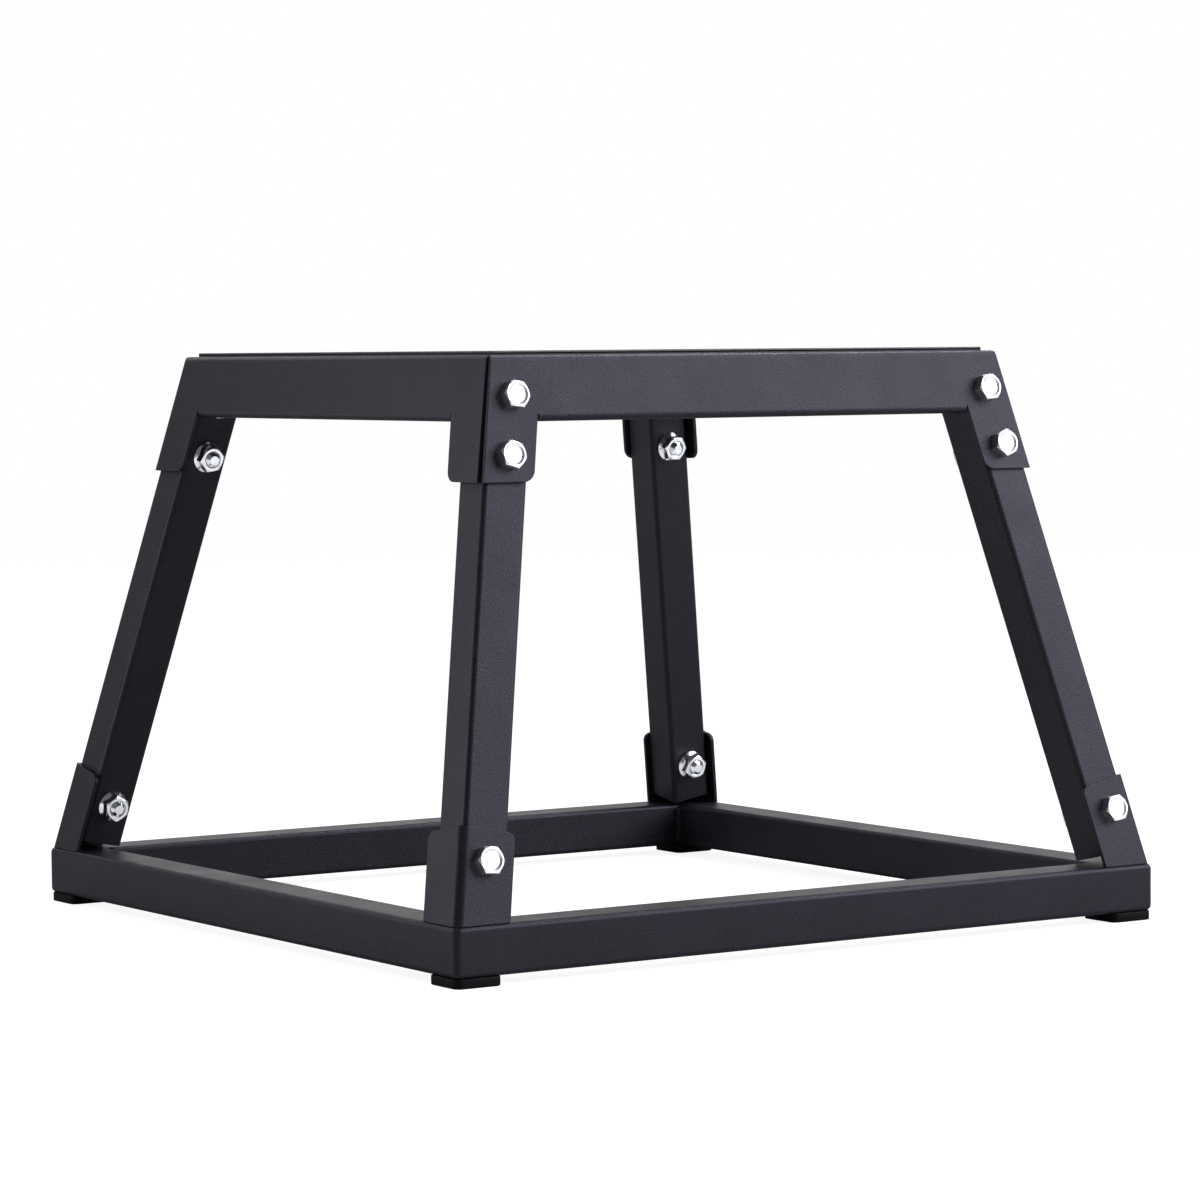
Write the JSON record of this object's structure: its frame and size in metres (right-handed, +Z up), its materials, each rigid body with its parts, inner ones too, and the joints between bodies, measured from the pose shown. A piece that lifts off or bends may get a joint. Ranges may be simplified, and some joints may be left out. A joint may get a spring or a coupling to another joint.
{
  "type": "plyo box",
  "caption": "Low steel jump platform: a folded sheet deck with a ribbed rubber mat, on leaning square-tube legs bolted to brackets on a welded square base.",
  "frame": {"origin": "on the floor, under the middle of the base", "axes": "+X to the right along the bolted front face, +Y to the back, +Z up"},
  "size_m": [0.435, 0.435, 0.305],
  "materials": {
    "powder_coat": "matte black powder coat with a fine texture",
    "zinc_hardware": "bright zinc plate",
    "mat_rubber": "matte ribbed rubber",
    "foot_rubber": "matte rubber"
  },
  "bodies": {
    "root": {"top_deck": "powder_coat", "grip_mat": "mat_rubber", "leg_front_left": "powder_coat", "leg_front_right": "powder_coat", "leg_back_left": "powder_coat", "leg_back_right": "powder_coat", "base_rail_front": "powder_coat", "base_rail_back": "powder_coat", "base_rail_left": "powder_coat", "base_rail_right": "powder_coat", "bracket_front_left": "powder_coat", "bracket_front_right": "powder_coat", "bracket_back_left": "powder_coat", "bracket_back_right": "powder_coat", "foot_front_left": "foot_rubber", "foot_front_right": "foot_rubber", "foot_back_left": "foot_rubber", "foot_back_right": "foot_rubber", "deck_bolts_upper": "zinc_hardware", "deck_bolts_lower": "zinc_hardware", "base_bolts": "zinc_hardware", "deck_nuts_upper": "zinc_hardware", "deck_nuts_lower": "zinc_hardware", "base_nuts": "zinc_hardware", "base_corner_welds": "powder_coat", "bracket_welds": "powder_coat"}
  },
  "joints": []
}
